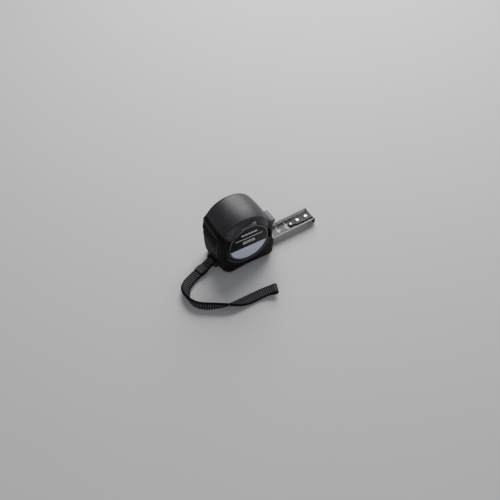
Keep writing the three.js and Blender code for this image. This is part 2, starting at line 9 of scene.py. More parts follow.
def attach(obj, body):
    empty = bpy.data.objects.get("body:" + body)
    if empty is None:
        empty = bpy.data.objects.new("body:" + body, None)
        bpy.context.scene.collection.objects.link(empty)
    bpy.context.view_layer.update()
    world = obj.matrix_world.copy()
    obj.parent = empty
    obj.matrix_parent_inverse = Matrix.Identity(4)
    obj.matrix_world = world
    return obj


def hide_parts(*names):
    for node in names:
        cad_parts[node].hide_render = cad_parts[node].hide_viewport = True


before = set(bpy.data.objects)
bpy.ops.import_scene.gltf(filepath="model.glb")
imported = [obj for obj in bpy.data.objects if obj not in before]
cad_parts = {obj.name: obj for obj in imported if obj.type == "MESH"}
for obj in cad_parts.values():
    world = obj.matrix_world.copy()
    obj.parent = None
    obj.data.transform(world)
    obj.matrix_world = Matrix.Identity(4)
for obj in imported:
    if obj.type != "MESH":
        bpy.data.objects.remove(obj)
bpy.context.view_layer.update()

MM = 0.001
GAP = 0.3

# ---------------------------------------- sizes, in millimetres

# The case: its outline about the reel's axle, and its faces across. An inset is how far a section
# across the case lies inside that outline.
AXIS_Z = 37.2
TOP_RADIUS = 31.05
FRONT_REACH = 34.5
SLOPE_ANGLE = 26
BACK_REACH = 31
BACK_LEAN = 0.14
BACK_FLATNESS = 0.6
BACK_SLANT = 0.1
BASE_SINK = 2.2
LABEL_FACE_Y = -20.4
LABEL_FACE_INSET = 7.4
RIM_Y = -15
RIM_INSET = 2.6
CROWN_Y = 5
CLIP_FACE_Y = 20
CLIP_EDGE_Y = 18.5
CLIP_EDGE_INSET = 0.7
CLIP_FACE_INSET = 2.6
PART_Y = 2
SEAM = 0.12
GRIP = 1.3
WALL = 1.6
# Where the hard shell shows between the grips, in degrees round the axle.
WINDOW = (20, 145)
MOUTH = ((24.5, -10.2, 3.1), (45, 10.2, 10.6))

# The label sits a little off the axle, with its print a little turned.
LABEL_CENTRE = (0.9, AXIS_Z - 0.8)
LABEL_TOP_Y = -20.2
POCKET_FLOOR_Y = -17.8
POCKET_RADIUS = 23.2
MOAT_RADIUS = 24.7
RING_INNER, RING_OUTER = 21.3, 22.5
PLATE_RADIUS = 21.2
PRINT_RADIUS = 20.9
PRINT_TILT = -3
PALE_TOP = -5.0
KEY_LEFT, KEY_RIGHT, KEY_TOP = -7.0, 10.6, 23.7
KEY_CORNER = 2.0
KEY_GROOVE = 0.8

# The back's rubber, in degrees round the axle: ribbed bands, then dips and a swelling as
# (middle, width, depth).
RIB_BANDS = ((157, 179), (190, 222))
RIB_SPACING = 3.6
RIB_DEPTH = 0.5
DIPS = ((184.0, 3.6, 1.2), (200.0, 7.0, 0.3))
SWELLING = (152, 6, 1.3)

# The blade, its print, the hook and its rivets.
BLADE_CURVE = 16.8
BLADE_HALF_CHORD = 8.8
BLADE_THICK = 0.3
BLADE_LOW_Z = 5.6
BLADE_X = (28.8, 88.6)
CUP_Z = BLADE_LOW_Z + BLADE_CURVE
HOOK_END_X = 90
ZERO_X = HOOK_END_X - 0.5
TONGUE_START_X = 62
PRINT_LIFT = 0.03
PRINT_COAT = 0.04
FIRST_MARK = 2
TICK_HALF, CM_LINE_HALF = 0.24, 0.2
LONG_TICK, SHORT_TICK = 3.4, 2.8
NUMERAL_SIZE = 9.0
NUMERAL_BOLD = 0.22
NUMERAL_FOOT = 1.9
TONGUE_HALF = 4.8
TONGUE_THICK = 0.8
TONGUE_NECK_X = 71.5
LIP_THICK = 1.0
LIP_LOW_Z = 0.6
LIP_CORNER = 1.6
HOOK_PLAY = 1.0
# Each rivet's name, place (x, y), and the radii of its head and shank.
RIVETS = [
    ("front", 83.8, 0.0, 2.1, 1.1),
    ("middle", 73.2, 0.0, 2.1, 1.1),
    ("back", 64.3, -0.9, 1.5, 0.8),
]

# The lock's button, the belt clip with its screw's height, and the case's two screws.
LOCK_LOW_Z, LOCK_HIGH_Z = 26.0, 35.8
LOCK_FRONT_X = 40.2
LOCK_HALF = 7.5
CLIP_SCREW_Z = 49
CLIP_HALF = 9
CLIP_THICK = 1.1
CLIP_STAND = 5.6
SCREWS = [("case_screw_front", 19.5, 11.9), ("case_screw_back", -19.5, 11.9)]


# ---------------------------------------- camera

def add_camera():
    data = bpy.data.cameras.new("camera")
    data.lens = 57.6
    data.sensor_width = 36
    data.clip_start = 0.01
    camera = bpy.data.objects.new("camera", data)
    bpy.context.collection.objects.link(camera)
    camera.location = (-0.26501, -0.44792, 0.63601)
    target = Vector((-0.00142, -0.02609, 0.0326))
    camera.rotation_euler = (target - camera.location).to_track_quat("-Z", "Y").to_euler()
    bpy.context.scene.camera = camera


add_camera()


# ---------------------------------------- mesh helpers

def new_object(name, points, faces):
    """A mesh object in millimetres; done() brings it to metres."""
    mesh = bpy.data.meshes.new(name)
    mesh.from_pydata([tuple(float(v) for v in p) for p in points], [], faces)
    mesh.update()
    obj = bpy.data.objects.new(name, mesh)
    bpy.context.collection.objects.link(obj)
    return obj


def bake(obj):
    """Applies the object's modifiers to its mesh."""
    bpy.context.view_layer.update()
    graph = bpy.context.evaluated_depsgraph_get()
    mesh = bpy.data.meshes.new_from_object(obj.evaluated_get(graph))
    old = obj.data
    obj.modifiers.clear()
    obj.data = mesh
    bpy.data.meshes.remove(old)
    return obj


def drop(obj):
    """Removes an object and its mesh."""
    mesh = obj.data
    bpy.data.objects.remove(obj)
    if mesh.users == 0:
        bpy.data.meshes.remove(mesh)


def combine(obj, other, operation, keep=False):
    """A boolean of two closed meshes; the second one is used up unless it is kept."""
    cut = obj.modifiers.new("cut", "BOOLEAN")
    cut.operation = operation
    cut.solver = "MANIFOLD"
    cut.object = other
    bake(obj)
    if not keep:
        drop(other)
    return obj


def copy_of(obj, name):
    twin = obj.copy()
    twin.data = obj.data.copy()
    twin.name = name
    bpy.context.collection.objects.link(twin)
    return twin


def cut(obj, *others):
    for other in others:
        combine(obj, other, "DIFFERENCE")
    return obj


def add(obj, *others):
    for other in others:
        combine(obj, other, "UNION")
    return obj


def common(obj, other):
    return combine(obj, other, "INTERSECT")


def grid(name, rows, close_rows=False):
    """A skin over rows of points, each row a closed ring."""
    count = len(rows[0])
    points = [p for row in rows for p in row]
    faces = []
    total = len(rows)
    for k in range(total if close_rows else total - 1):
        for i in range(count):
            j = (i + 1) % count
            a, b = k * count, (k + 1) % total * count
            faces.append((a + i, a + j, b + j, b + i))
    if not close_rows:
        for row, order in ((rows[0], -1), (rows[-1], 1)):
            centre = np.mean(np.array(row), axis=0)
            hub = len(points)
            points.append(tuple(centre))
            start = 0 if order < 0 else (total - 1) * count
            for i in range(count):
                j = (i + 1) % count
                pair = (start + j, start + i) if order < 0 else (start + i, start + j)
                faces.append((pair[0], pair[1], hub))
    return new_object(name, points, faces)


def prism(name, outline, axis, low, high):
    """An outline drawn in the other two axes (in X, Y, Z order), from low to high along one axis."""
    def place(p, at):
        point = list(p)
        point.insert("XYZ".index(axis), at)
        return tuple(point)
    area = sum(a[0] * b[1] - b[0] * a[1] for a, b in zip(outline, outline[1:] + outline[:1]))
    ordered = outline if (area > 0) != (axis == "Y") else outline[::-1]
    count = len(ordered)
    points = [place(p, low) for p in ordered] + [place(p, high) for p in ordered]
    faces = [tuple(range(count))[::-1], tuple(range(count, 2 * count))]
    for i in range(count):
        j = (i + 1) % count
        faces.append((i, j, count + j, count + i))
    return new_object(name, points, faces)


def block(name, low, high):
    """A box between two corners."""
    outline = [(low[0], low[1]), (high[0], low[1]), (high[0], high[1]), (low[0], high[1])]
    return prism(name, outline, "Z", low[2], high[2])


def arc(radius, start, end, count, centre=(0, 0)):
    angles = np.radians(np.linspace(start, end, count))
    return [(centre[0] + radius * math.cos(a), centre[1] + radius * math.sin(a)) for a in angles]


def bar(name, axis, radius, low, high, centre, segments=96):
    """A round bar from low to high along one axis."""
    outline = arc(radius, 0, 360 - 360 / segments, segments, centre)
    return prism(name, outline, axis, low, high)


def turned(profile, axis, centre, segments=96):
    """The rows of a turned piece, for grid(). Profile points are (radius, place along the axis), from
    one end on the axis line, or on the inside, to the other."""
    rows = []
    for radius, along in profile:
        ring = []
        for k in range(segments):
            angle = 2 * math.pi * k / segments
            point = [centre[0] + radius * math.cos(angle), centre[1] + radius * math.sin(angle)]
            point.insert("XYZ".index(axis), along)
            ring.append(tuple(point))
        rows.append(ring)
    return rows


def done(obj, body, material, replaces=(), sharp=35, bevel=None, segments=2):
    """Rounds the edges, shades smooth, scales to metres, and puts the piece on its body."""
    if bevel:
        edge = obj.modifiers.new("edge", "BEVEL")
        edge.width = bevel
        edge.segments = segments
        edge.limit_method = "ANGLE"
        edge.angle_limit = math.radians(38)
        bake(obj)
    mesh = obj.data
    mesh.transform(Matrix.Scale(MM, 4))
    mesh.polygons.foreach_set("use_smooth", [True] * len(mesh.polygons))
    mesh.set_sharp_from_angle(angle=math.radians(sharp))
    mesh.materials.clear()
    mesh.materials.append(material)
    mesh.update()
    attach(obj, body)
    if replaces:
        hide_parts(*replaces)
    return obj


# ---------------------------------------- materials

# How far a rounded edge's normal turns from the face's, as a cosine, where the edge colour starts
# and is full: pale wear on moulded parts, painted shade on the hook.
EDGE_STARTS = 0.99
EDGE_FULL = 0.85


def make_material(name, color, rough, metallic=0.0, grain=0.3, depth=0.02, vary=0.2, rough_vary=0.08,
                  patch=9.0, bevel=0.25, edge_wear_and_shade=0.0, edge_wear_and_shade_color=None, stretch=(1, 1, 1), specular=0.5,
                  crest_sheen=None):
    """A moulded, woven or metal surface. grain, depth, patch and bevel are in millimetres. The edge
    argument is how far rounded edges take its colour: pale wear on moulded parts, painted shade on the
    hook. The crest colour is a painted sheen on the webbing's rib crests, where the mesh's matching
    colour attribute is white."""
    material = bpy.data.materials.new(name)
    material.use_nodes = True
    nodes = material.node_tree.nodes
    links = material.node_tree.links
    shader = nodes["Principled BSDF"]
    shader.inputs["Metallic"].default_value = metallic
    shader.inputs["Specular IOR Level"].default_value = specular
    place = nodes.new("ShaderNodeTexCoord")
    stretched = nodes.new("ShaderNodeMapping")
    stretched.inputs["Scale"].default_value = stretch
    links.new(place.outputs["Object"], stretched.inputs["Vector"])
    fine = nodes.new("ShaderNodeTexNoise")
    fine.inputs["Scale"].default_value = 1000 / grain
    fine.inputs["Detail"].default_value = 3
    links.new(stretched.outputs["Vector"], fine.inputs["Vector"])
    broad = nodes.new("ShaderNodeTexNoise")
    broad.inputs["Scale"].default_value = 1000 / patch
    broad.inputs["Detail"].default_value = 5
    links.new(place.outputs["Object"], broad.inputs["Vector"])
    tint = nodes.new("ShaderNodeMix")
    tint.data_type = "RGBA"
    tint.inputs["A"].default_value = [c * (1 - vary) for c in color] + [1]
    tint.inputs["B"].default_value = [c * (1 + vary) for c in color] + [1]
    links.new(broad.outputs["Fac"], tint.inputs["Factor"])
    colour = tint.outputs["Result"]
    # Painted sheen: the webbing's rib crests are lightened as if they caught the light.
    if crest_sheen:
        sheen_mask = nodes.new("ShaderNodeVertexColor")
        sheen_mask.layer_name = "crest_sheen"
        ribs = nodes.new("ShaderNodeMix")
        ribs.data_type = "RGBA"
        ribs.inputs["B"].default_value = list(crest_sheen) + [1]
        links.new(sheen_mask.outputs["Color"], ribs.inputs["Factor"])
        links.new(colour, ribs.inputs["A"])
        colour = ribs.outputs["Result"]
    rounding = nodes.new("ShaderNodeBevel")
    rounding.samples = 4
    rounding.inputs["Radius"].default_value = bevel * MM
    # Rounded edges take the edge colour: pale wear on moulded parts, painted shade on the hook.
    if edge_wear_and_shade:
        plain = nodes.new("ShaderNodeNewGeometry")
        turn = nodes.new("ShaderNodeVectorMath")
        turn.operation = "DOT_PRODUCT"
        links.new(rounding.outputs["Normal"], turn.inputs[0])
        links.new(plain.outputs["Normal"], turn.inputs[1])
        edge = nodes.new("ShaderNodeMapRange")
        edge.inputs["From Min"].default_value = EDGE_STARTS
        edge.inputs["From Max"].default_value = EDGE_FULL
        edge.inputs["To Max"].default_value = edge_wear_and_shade
        links.new(turn.outputs["Value"], edge.inputs["Value"])
        edge_tint = nodes.new("ShaderNodeMix")
        edge_tint.data_type = "RGBA"
        pale = [min(1, c * 3 + 0.02) for c in color]
        edge_tint.inputs["B"].default_value = list(edge_wear_and_shade_color or pale) + [1]
        links.new(edge.outputs["Result"], edge_tint.inputs["Factor"])
        links.new(colour, edge_tint.inputs["A"])
        colour = edge_tint.outputs["Result"]
    links.new(colour, shader.inputs["Base Color"])
    shine = nodes.new("ShaderNodeMapRange")
    shine.inputs["To Min"].default_value = rough - rough_vary
    shine.inputs["To Max"].default_value = rough + rough_vary
    links.new(broad.outputs["Fac"], shine.inputs["Value"])
    links.new(shine.outputs["Result"], shader.inputs["Roughness"])
    bump = nodes.new("ShaderNodeBump")
    bump.inputs["Distance"].default_value = depth * MM
    bump.inputs["Strength"].default_value = 1
    links.new(fine.outputs["Fac"], bump.inputs["Height"])
    links.new(rounding.outputs["Normal"], bump.inputs["Normal"])
    links.new(bump.outputs["Normal"], shader.inputs["Normal"])
    return material


shell_paint = make_material("shell_plastic", (0.027, 0.0265, 0.031), 0.5, grain=0.35, depth=0.012,
                            vary=0.12, edge_wear_and_shade=0.25)
rubber_paint = make_material("grip_rubber", (0.0045, 0.0045, 0.005), 0.6, grain=0.5, depth=0.03,
                             vary=0.2, edge_wear_and_shade=0.25, specular=0.2)
bumper_paint = make_material("bumper_rubber", (0.006, 0.006, 0.007), 0.6, grain=0.4, depth=0.025,
                             edge_wear_and_shade=0.3, specular=0.2)
ring_paint = make_material("ring_metal", (0.26, 0.265, 0.29), 0.3, metallic=1.0, grain=0.2,
                           depth=0.004, vary=0.06, bevel=0.15)
label_paint = make_material("label_film", (0.004, 0.0037, 0.005), 0.38, grain=0.2, depth=0.003,
                            vary=0.15, specular=0.2)
pale_paint = make_material("label_pale_print", (0.62, 0.66, 0.80), 0.42, grain=0.25, depth=0.004,
                           vary=0.08)
line_paint = make_material("label_grey_print", (0.80, 0.80, 0.84), 0.45, grain=0.2, depth=0.002,
                           vary=0.1)
blade_paint = make_material("blade_lacquer", (0.006, 0.006, 0.007), 0.33, grain=0.25, depth=0.004,
                            vary=0.15, specular=0.35, bevel=0.05)
mark_paint = make_material("blade_white_marks", (0.46, 0.46, 0.47), 0.4, grain=0.2, depth=0.003,
                           vary=0.1, bevel=0.02)
# The hook's rounded edges are painted darker than its faces: a painted shade for the shadowed gap
# round the tongue.
hook_paint = make_material("hook_coated_steel", (0.024, 0.024, 0.025), 0.42, grain=0.3, depth=0.008,
                           vary=0.3, edge_wear_and_shade=1.0, edge_wear_and_shade_color=(0.002, 0.002, 0.002), bevel=0.8,
                           specular=0.2)
rivet_paint = make_material("rivet_bright", (0.9, 0.9, 0.91), 0.24, metallic=1.0, grain=0.4,
                            depth=0.004, vary=0.05, bevel=0.1)
steel_paint = make_material("plated_steel", (0.42, 0.43, 0.45), 0.3, metallic=1.0, grain=0.5,
                            depth=0.006, vary=0.1, stretch=(1, 1, 0.05), bevel=0.15)
pin_paint = make_material("blackened_pin", (0.02, 0.02, 0.022), 0.4, metallic=0.3, grain=0.4,
                          depth=0.006)
spring_paint = make_material("spring_steel", (0.3, 0.31, 0.33), 0.35, metallic=1.0, grain=0.4,
                             depth=0.006)
reel_paint = make_material("reel_plastic", (0.045, 0.045, 0.05), 0.5, grain=0.3, depth=0.01)
lock_paint = make_material("lock_plastic", (0.034, 0.034, 0.037), 0.42, grain=0.3, depth=0.012, edge_wear_and_shade=0.3)
# A paler tone of the case's plastic, used as painted light: the key tab and the pocket's lower lip take it
# so they look lit from above.
painted_light_plastic = make_material("key_and_lip_plastic_painted_light", (0.08, 0.079, 0.086), 0.45, grain=0.35, depth=0.012, vary=0.12)
guide_paint = make_material("guide_plastic", (0.012, 0.012, 0.013), 0.35, grain=0.3, depth=0.008)
# The crest colour is a painted sheen on the rib crests.
webbing_paint = make_material("ribbed_webbing", (0.004, 0.004, 0.0045), 0.75, grain=0.35, depth=0.08,
                              vary=0.35, patch=3, bevel=0.05, specular=0.2, crest_sheen=(0.14, 0.14, 0.15))
keeper_paint = make_material("stitched_keeper", (0.008, 0.008, 0.009), 0.75, grain=0.35, depth=0.08,
                             vary=0.35, patch=3, bevel=0.1, specular=0.3)
thread_paint = make_material("stitch_thread", (0.24, 0.24, 0.26), 0.55, grain=0.2, depth=0.03, vary=0.2,
                             bevel=0.05)


# ---------------------------------------- wrist strap

PIN_X, PIN_Z = -29.4, 7.2
PIN_RADIUS = 1.3
EAR_RADIUS = 2.5
EAR_ROOT_X = -24
EAR_INNER_Y, EAR_OUTER_Y = 5.8, 7.6
STRAP_ROUTE = [
    (-32.9, 0.3, 6.1), (-35.4, 0.2, 4.9), (-38.2, -0.3, 3.7), (-42.0, -1.2, 3.0), (-49.0, -3.3, 2.7),
    (-57.4, -6.2, 2.1), (-64.5, -9.9, 2.8), (-69.6, -15.4, 4.0), (-72.4, -22.4, 5.0),
    (-72.5, -30.0, 5.2), (-69.6, -37.1, 5.2), (-64.3, -42.7, 5.2), (-56.6, -47.5, 5.2),
    (-48.6, -52.0, 5.1), (-40.2, -55.3, 4.4), (-32.0, -57.0, 3.3), (-23.8, -57.6, 2.4),
    (-15.6, -57.8, 2.3), (-7.6, -58.5, 3.0), (-0.4, -60.2, 4.3), (5.2, -62.4, 5.8),
]
# How far the webbing is rolled from lying flat to standing on its edge, in degrees, at each point.
STRAP_ROLL = [0, 0, 0, 0, 2, 6, 16, 38, 60, 76, 85, 88, 84, 70, 46, 20, 4, 0, 0, -2, -4]
FRAME_STEP = 0.3
WEB_WIDTH = 10.0
WEB_THICK = 1.3
RIB_PITCH = 2.4
# How far the webbing thins between its ribs, as a share, and how far its edges stand out.
RIB_HOLLOW = 0.38
SELVAGE_RISE = 0.03
# The far end is left open as a small loop: over how many frames, how far each layer moves out, and
# how far the fold reaches on.
LOOP_FRAMES = 30
LOOP_OPEN = 1.5
LOOP_REACH = 2.2
# The keeper's place, its half length, half width and half height, and its rows of stitches.
KEEPER_X = -44.2
KEEPER_HALF = (4.3, 5.6, 2.55)
STITCHES = 6
STITCH_STEP = (1.3, 1.5)
STITCH_FOOT, STITCH_TOP = (0.58, 0.5), (0.36, 0.3)
STITCH_SINK, STITCH_RISE = 0.06, 0.26


def smooth_route(points, per_span=24):
    """The centripetal Catmull-Rom curve through the points."""
    pts = [np.array(p, float) for p in points]
    pts = [2 * pts[0] - pts[1]] + pts + [2 * pts[-1] - pts[-2]]
    out = []
    for k in range(1, len(pts) - 2):
        p0, p1, p2, p3 = pts[k - 1:k + 3]
        t0 = 0.0
        t1 = t0 + np.linalg.norm((p1 - p0)[:3]) ** 0.5
        t2 = t1 + np.linalg.norm((p2 - p1)[:3]) ** 0.5
        t3 = t2 + np.linalg.norm((p3 - p2)[:3]) ** 0.5
        last = k == len(pts) - 3
        for t in np.linspace(t1, t2, per_span + 1)[: None if last else -1]:
            a1 = (t1 - t) / (t1 - t0) * p0 + (t - t0) / (t1 - t0) * p1
            a2 = (t2 - t) / (t2 - t1) * p1 + (t - t1) / (t2 - t1) * p2
            a3 = (t3 - t) / (t3 - t2) * p2 + (t - t2) / (t3 - t2) * p3
            b1 = (t2 - t) / (t2 - t0) * a1 + (t - t0) / (t2 - t0) * a2
            b2 = (t3 - t) / (t3 - t1) * a2 + (t - t1) / (t3 - t1) * a3
            out.append((t2 - t) / (t2 - t1) * b1 + (t - t1) / (t2 - t1) * b2)
    return np.array(out)


def unit(v):
    return v / np.linalg.norm(v)


def resample(line, step):
    """Points at even steps along a line whose first three numbers are its place."""
    lengths = np.linalg.norm(np.diff(line[:, :3], axis=0), axis=1)
    along = np.concatenate([[0], np.cumsum(lengths)])
    count = int(round(along[-1] / step))
    at = np.linspace(0, along[-1], count + 1)
    return np.stack([np.interp(at, along, line[:, k]) for k in range(line.shape[1])], axis=1)


def strap_frames():
    """Along the strap's middle line: place, direction, width direction and face direction."""
    route = smooth_route([p + (r,) for p, r in zip(STRAP_ROUTE, STRAP_ROLL)])
    route = resample(route, FRAME_STEP)
    frames = []
    up = np.array([0, 0, 1.0])
    for k, row in enumerate(route):
        place, roll = row[:3].copy(), math.radians(row[3])
        ahead = route[min(k + 1, len(route) - 1)][:3] - route[max(k - 1, 0)][:3]
        ahead = unit(ahead)
        side = unit(np.cross(ahead, up))
        rise = np.cross(side, ahead)
        width = math.cos(roll) * side + math.sin(roll) * rise
        face = np.cross(width, ahead)
        reach = abs(width[2]) * WEB_WIDTH / 2 + abs(face[2]) * (WEB_THICK + 0.25)
        place[2] = max(place[2], reach + 0.12)
        frames.append((place, ahead, width, face))
    return frames


def ribbon(name, stations):
    """A closed band of webbing: each station is (place, along, width direction)."""
    places = np.array([s[0] for s in stations])
    steps = np.linalg.norm(np.roll(places, -1, axis=0) - places, axis=1)
    along = np.concatenate([[0], np.cumsum(steps)[:-1]])
    whole = steps.sum()
    ribs = round(whole / RIB_PITCH)
    half = WEB_WIDTH / 2
    section = []
    for u in np.linspace(-1, 1, 13):
        section.append((u, 1))
    for u in np.linspace(1, -1, 13):
        section.append((u, -1))
    rows, crest_sheen_values = [], []
    for k, (place, ahead, width) in enumerate(stations):
        face = unit(np.cross(width, ahead))
        wave = 0.5 + 0.5 * math.cos(2 * math.pi * ribs * along[k] / whole)
        ring = []
        for u, sign in section:
            selvage = math.exp(-((abs(u) - 0.9) / 0.07) ** 2)
            body = 0.5 * WEB_THICK * (1 - RIB_HOLLOW * (1 - wave) * (1 - selvage))
            thick = (body + SELVAGE_RISE * selvage) * (1 - max(0.0, abs(u) - 0.93) / 0.07 * 0.55)
            ring.append(tuple(place + width * (u * half) + face * (sign * thick)))
            # Painted sheen on the rib crests, fading out towards the webbing's edges.
            crest_sheen_values.append(wave ** 3 * min(1.0, max(0.0, (0.86 - abs(u)) / 0.12)))
        rows.append(ring)
    band = grid(name, rows, close_rows=True)
    color = band.data.color_attributes.new("crest_sheen", "FLOAT_COLOR", "POINT")
    color.data.foreach_set("color", [v for c in crest_sheen_values for v in (c, c, c, 1.0)])
    return band


def build_strap():
    """Both layers of webbing, the fold at the far end and the turn round the pin, as one band."""
    frames = strap_frames()
    spread = WEB_THICK / 2 + 0.08
    out, back = [], []
    for k, (place, ahead, width, face) in enumerate(frames):
        near_end = max(0.0, 1 - (len(frames) - 1 - k) / LOOP_FRAMES)
        apart = spread + LOOP_OPEN * near_end ** 1.6
        out.append((place + face * apart, ahead, width))
        back.append((place - face * apart, -ahead, width))
    # The folded far end.
    place, ahead, width, face = frames[-1]
    fold = []
    for angle in np.radians(np.linspace(8, 172, 20)):
        spot = place + face * apart * math.cos(angle) + ahead * LOOP_REACH * math.sin(angle)
        fold.append((spot, unit(ahead * math.cos(angle) - face * math.sin(angle)), width))
    # Round the pin at the case.
    pin = np.array([PIN_X, 0.0, PIN_Z])
    place, ahead, width, face = frames[0]
    away = unit(pin - place)
    away = unit(away - width * (away @ width))
    lift = unit(np.cross(away, width))
    if lift @ face < 0:
        lift = -lift
    turn = []
    radius = PIN_RADIUS + 0.1 + WEB_THICK / 2
    for angle in np.radians(np.linspace(-105, 105, 22)):
        spot = pin + away * radius * math.cos(angle) + lift * radius * math.sin(angle)
        turn.append((spot, unit(-away * math.sin(angle) + lift * math.cos(angle)), width))
    stations = out + fold + back[::-1] + turn
    # The joins are evened out.
    places = np.array([s[0] for s in stations])
    for _ in range(6):
        places = 0.5 * places + 0.25 * (np.roll(places, 1, axis=0) + np.roll(places, -1, axis=0))
    tangents = np.roll(places, -1, axis=0) - np.roll(places, 1, axis=0)
    stations = [(p, unit(t), s[2]) for p, t, s in zip(places, tangents, stations)]
    strap = ribbon("strap_webbing", stations)
    done(strap, "case", webbing_paint, replaces=["wrist_strap"], sharp=60)
    line = [tuple(p * MM) for p, _, _, _ in frames[::8]]
    length = sum(math.dist(a, b) for a, b in zip(line, line[1:]))
    return strap, line, length, frames


def build_keeper(frames):
    """A short band of webbing sewn round both layers, with a block of stitching."""
    middle = min(range(len(frames) // 3), key=lambda k: abs(frames[k][0][0] - KEEPER_X))
    place, ahead, width, face = frames[middle]
    place = place + face * 0.1
    half_long, half_wide, half_high = KEEPER_HALF
    rows = []
    for t in (-1, -0.92, -0.75, -0.5, -0.25, 0, 0.25, 0.5, 0.75, 0.92, 1):
        pinch = 1 - 0.12 * max(0, abs(t) - 0.7) / 0.3
        ring = []
        for k in range(64):
            angle = 2 * math.pi * (k + 0.5) / 64
            c, s = math.cos(angle), math.sin(angle)
            across = half_wide * math.copysign(abs(c) ** 0.35, c) * pinch
            high = half_high * math.copysign(abs(s) ** 0.35, s) * pinch
            ring.append(tuple(place + ahead * (t * half_long) + width * across + face * high))
        rows.append(ring)
    inner = []
    for row in rows[::-1]:
        centre = np.mean(np.array(row), axis=0)
        inner.append([tuple(centre + (np.array(p) - centre) * 0.9) for p in row])
    band = grid("strap_keeper", (rows + inner)[::-1], close_rows=True)
    done(band, "case", keeper_paint, replaces=["strap_collar"], sharp=50)
    return band, build_stitches(place, ahead, width, face)


def build_stitches(place, ahead, width, face):
    """Two blocks of small raised stitches, one on each face of the keeper."""
    half_high = KEEPER_HALF[2] + 0.01
    middle = (STITCHES - 1) / 2
    quads = [(4, 5, 6, 7), (0, 1, 5, 4), (1, 2, 6, 5), (2, 3, 7, 6), (3, 0, 4, 7), (3, 2, 1, 0)]
    points, faces = [], []
    for sign in (1, -1):
        for a in range(STITCHES):
            for b in range(STITCHES):
                if (a + b) % 2:
                    continue
                spot = place + ahead * (STITCH_STEP[0] * (a - middle)) + face * (sign * half_high)
                spot = spot + width * (STITCH_STEP[1] * (b - middle))
                base = len(points)
                for half, lift in ((STITCH_FOOT, -STITCH_SINK), (STITCH_TOP, STITCH_RISE - STITCH_SINK)):
                    for u, v in ((-1, -1), (1, -1), (1, 1), (-1, 1)):
                        points.append(tuple(spot + ahead * (u * half[0]) + width * (v * half[1])
                                            + face * (sign * lift)))
                faces += [tuple(base + i for i in q[::-sign]) for q in quads]
    stitches = new_object("strap_stitches", points, faces)
    done(stitches, "case", thread_paint, sharp=80)
    return stitches


strap, strap_line, strap_length, strap_place = build_strap()
keeper, stitches = build_keeper(strap_place)


# ---------------------------------------- the case

def outline_point(angle):
    """The case's outline seen from the side, about the axle: a round top, a sloping front, and a
    squared base with a back that leans in."""
    c, s = math.cos(angle), math.sin(angle)
    if s >= 0:
        left = max(0.0, 1 - math.degrees(angle) / SLOPE_ANGLE)
        reach = TOP_RADIUS + (FRONT_REACH - TOP_RADIUS) * left ** 1.5
        return reach * c, reach * s
    half = FRONT_REACH if c > 0 else BACK_REACH
    across = abs(c / half) ** 12
    down = abs(s / (AXIS_Z + BASE_SINK)) ** 12
    reach = (across + down) ** (-1 / 12)
    lean = 1 - BACK_LEAN * (-reach * s / AXIS_Z) ** 1.5 if c < 0 else 1
    return reach * c * lean, reach * s


def crown_inset(y):
    """The inset of the crowned band between the rim and the far face's edge."""
    if y < CROWN_Y:
        return RIM_INSET * ((CROWN_Y - y) / (CROWN_Y - RIM_Y)) ** 2.2
    return CLIP_EDGE_INSET * ((y - CROWN_Y) / (CLIP_EDGE_Y - CROWN_Y)) ** 3


def inset_at(angle, y, inset):
    """The inset all round a section: the back is flatter across and slants a little."""
    if y <= LABEL_FACE_Y:
        return inset
    back = max(0.0, -math.cos(angle)) ** 3
    return inset * (1 - BACK_FLATNESS * back) + BACK_SLANT * y * back


def sections(fine):
    """Places across the case, each with its inset. The fine ones have a groove at the rim and one
    by the far edge."""
    face = (LABEL_FACE_Y, LABEL_FACE_INSET)
    if not fine:
        steps = [RIM_Y, -13, -11, -9, -7, -5, -3, -1, 1, 4, 8, 11, 13, 15, 16.5, CLIP_EDGE_Y]
        return [face] + [(y, crown_inset(y)) for y in steps] + [(19.5, 1.4), (CLIP_FACE_Y, CLIP_FACE_INSET)]
    rows = [face]
    for k in range(1, 7):
        y = LABEL_FACE_Y + (RIM_Y - 0.35 - LABEL_FACE_Y) * k / 6
        rows.append((y, LABEL_FACE_INSET + (2.95 - LABEL_FACE_INSET) * k / 6))
    rows += [(RIM_Y - 0.22, 3.3), (RIM_Y + 0.12, 3.2), (RIM_Y + 0.3, crown_inset(RIM_Y + 0.3))]
    rows += [(y, crown_inset(y)) for y in np.linspace(RIM_Y + 0.8, 17.2, 38)]
    for y, groove in ((17.3, 0.3), (17.6, 0.3), (17.7, 0)):
        rows.append((y, crown_inset(y) + groove))
    for k in range(9):
        turn = math.radians(90 * k / 8)
        y = CLIP_EDGE_Y + (CLIP_FACE_Y - CLIP_EDGE_Y) * math.sin(turn)
        rows.append((y, CLIP_FACE_INSET - (CLIP_FACE_INSET - CLIP_EDGE_INSET) * math.cos(turn)))
    return rows


def swell(degrees, middle, width):
    """A smooth hump round the back, 1 at its middle."""
    return math.exp(-((degrees - middle) / width) ** 2)


def rear_relief(angle, y):
    """How deep the back's rubber lies under the plain outline: grip ribs, two dips and a swelling."""
    degrees = math.degrees(angle) % 360
    fade = min(1.0, max(0.0, (y + 13.0) / 2.5)) * min(1.0, max(0.0, 20.7 - y))
    deep = 0.0
    for low, high in RIB_BANDS:
        if low < degrees < high:
            inside = min(1.0, (degrees - low) / 1.5, (high - degrees) / 1.5)
            wave = 0.5 - 0.5 * math.cos(math.radians((degrees - low) / RIB_SPACING * 360))
            deep = max(deep, RIB_DEPTH * inside * wave)
    for middle, width, depth in DIPS:
        deep = max(deep, depth * swell(degrees, middle, width))
    middle, width, height = SWELLING
    return (deep - height * swell(degrees, middle, width)) * fade


